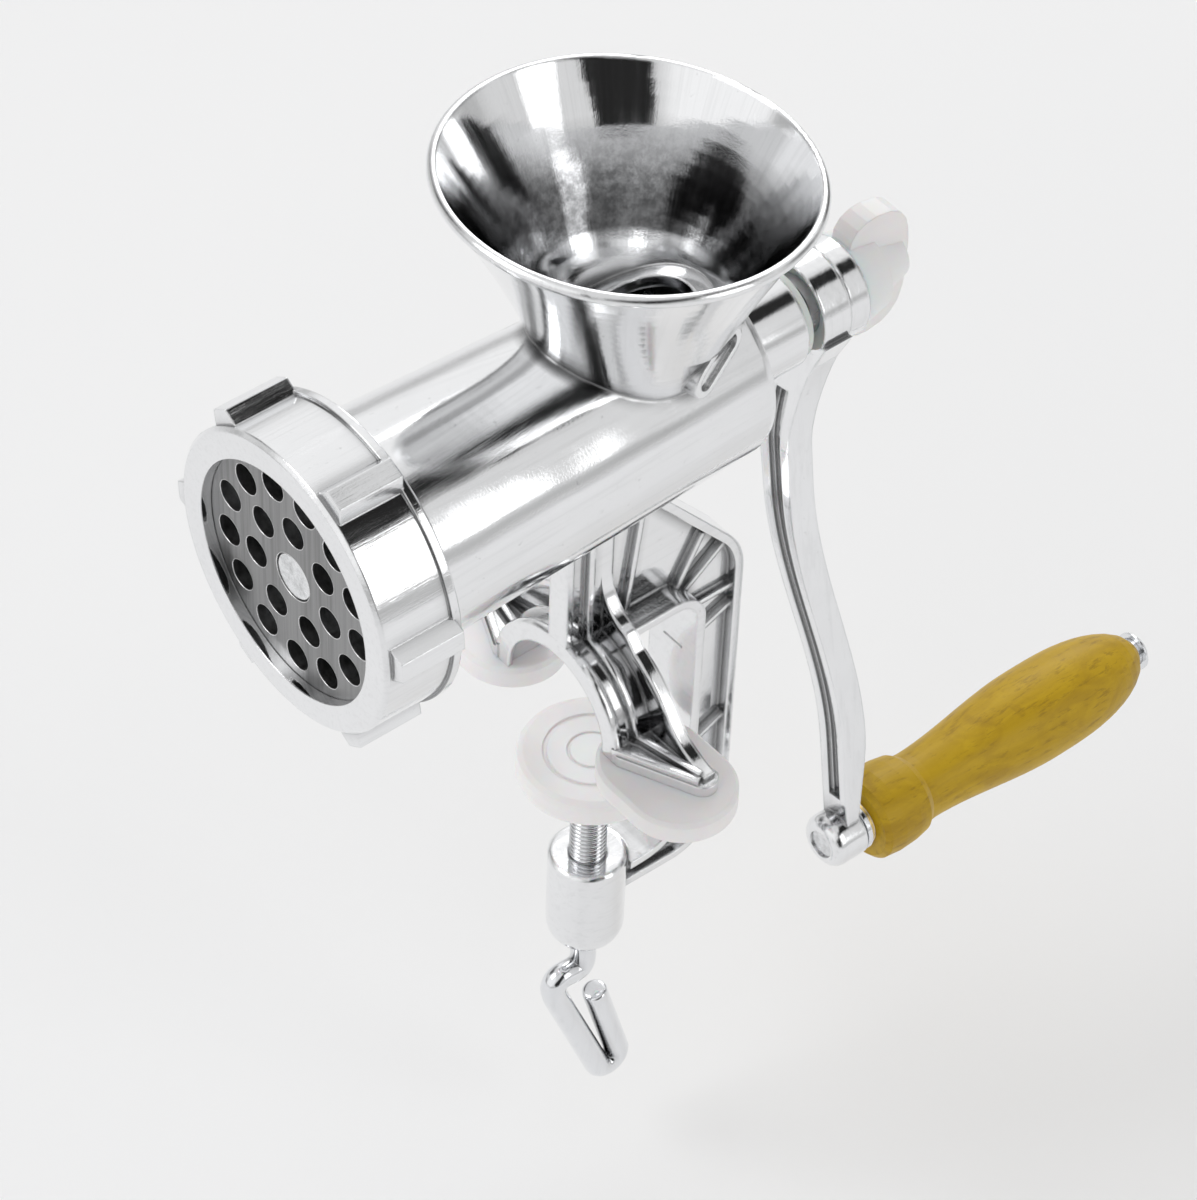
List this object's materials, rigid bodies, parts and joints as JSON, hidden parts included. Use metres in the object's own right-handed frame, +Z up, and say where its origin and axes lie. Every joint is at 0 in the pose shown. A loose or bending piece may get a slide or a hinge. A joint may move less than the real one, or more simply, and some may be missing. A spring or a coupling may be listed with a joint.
{
  "type": "hand crank meat grinder",
  "caption": "Table-clamped hand crank meat grinder with a flared hopper, horizontal barrel, perforated plate under a ring nut, and a swept crank with a turned wooden grip.",
  "frame": {"origin": "where the clamp screw's axis meets the plane of the jaw pads' undersides, which is the top of the table", "axes": "+Z is up, -Y is the way the meat leaves the barrel, +Y faces the crank, and the handle lies along +Y"},
  "size_m": [0.105, 0.2706, 0.3329],
  "materials": {
    "cast_alloy": "polished tinned casting",
    "ring_alloy": "polished tinned casting",
    "auger_alloy": "cast, satin",
    "crank_alloy": "polished tinned casting",
    "plate_steel": "brushed",
    "knife_steel": "ground",
    "pin_steel": "turned",
    "washer_steel": "plated",
    "screw_steel": "plated",
    "white_plastic": "smooth white",
    "nylon": "natural nylon",
    "brass": "plain",
    "grip_wood": "turned hardwood, varnished"
  },
  "bodies": {
    "body": {"body_casting": "cast_alloy", "rear_bush": "nylon", "plate_key": "pin_steel", "jaw_pad_left": "white_plastic", "jaw_pad_right": "white_plastic"},
    "crank": {"auger": "auger_alloy", "auger_pin": "pin_steel", "knife": "knife_steel", "thrust_washer": "nylon", "crank_arm": "crank_alloy", "handle_spindle": "pin_steel", "spindle_washer": "washer_steel", "grip_washer": "brass", "grip_end_cap": "washer_steel"},
    "grip": {"handle_grip": "grip_wood"},
    "plate": {"grinding_plate": "plate_steel"},
    "ring": {"ring_nut": "ring_alloy"},
    "crank_collar": {"collar_washer": "crank_alloy"},
    "knob": {"wing_knob": "white_plastic", "knob_stud": "pin_steel"},
    "disc": {"clamp_disc": "white_plastic", "disc_retainer": "washer_steel"},
    "screw": {"clamp_screw": "screw_steel"}
  },
  "joints": [
    {"name": "crank_turn", "type": "hinge", "parent": "body", "child": "crank", "pos_m": [0, 0, 0.103], "axis": [0, -1, 0], "continuous": true},
    {"name": "grip_spin", "type": "hinge", "parent": "crank", "child": "grip", "pos_m": [0.0273, 0, -0.06935], "axis": [0, 1, 0], "continuous": true},
    {"name": "ring_travel", "type": "slide", "parent": "body", "child": "plate", "axis": [0, -1, 0], "range_m": [0, 0.013]},
    {"name": "ring_turn", "type": "hinge", "parent": "plate", "child": "ring", "pos_m": [0, 0, 0.103], "axis": [0, -1, 0], "range_deg": [-0.1, 1560.1]},
    {"name": "knob_travel", "type": "slide", "parent": "crank", "child": "crank_collar", "axis": [0, 1, 0], "range_m": [0, 0.0125]},
    {"name": "knob_turn", "type": "hinge", "parent": "crank_collar", "child": "knob", "pos_m": [0, 0, 0.103], "axis": [0, 1, 0], "range_deg": [-0.1, 3600.1]},
    {"name": "clamp_lift", "type": "slide", "parent": "body", "child": "disc", "axis": [0, 0, 1], "range_m": [-0.026, 0.0045]},
    {"name": "screw_turn", "type": "hinge", "parent": "disc", "child": "screw", "pos_m": [0, 0, -0.07], "axis": [0, 0, 1], "range_deg": [-6240.1, 1080.1]}
  ],
  "couplings": [
    {"joint": "ring_turn", "follows": "ring_travel", "rad_per_m": 2094.4},
    {"joint": "knob_turn", "follows": "knob_travel", "rad_per_m": 5026.5},
    {"joint": "screw_turn", "follows": "clamp_lift", "rad_per_m": 4188.8}
  ]
}
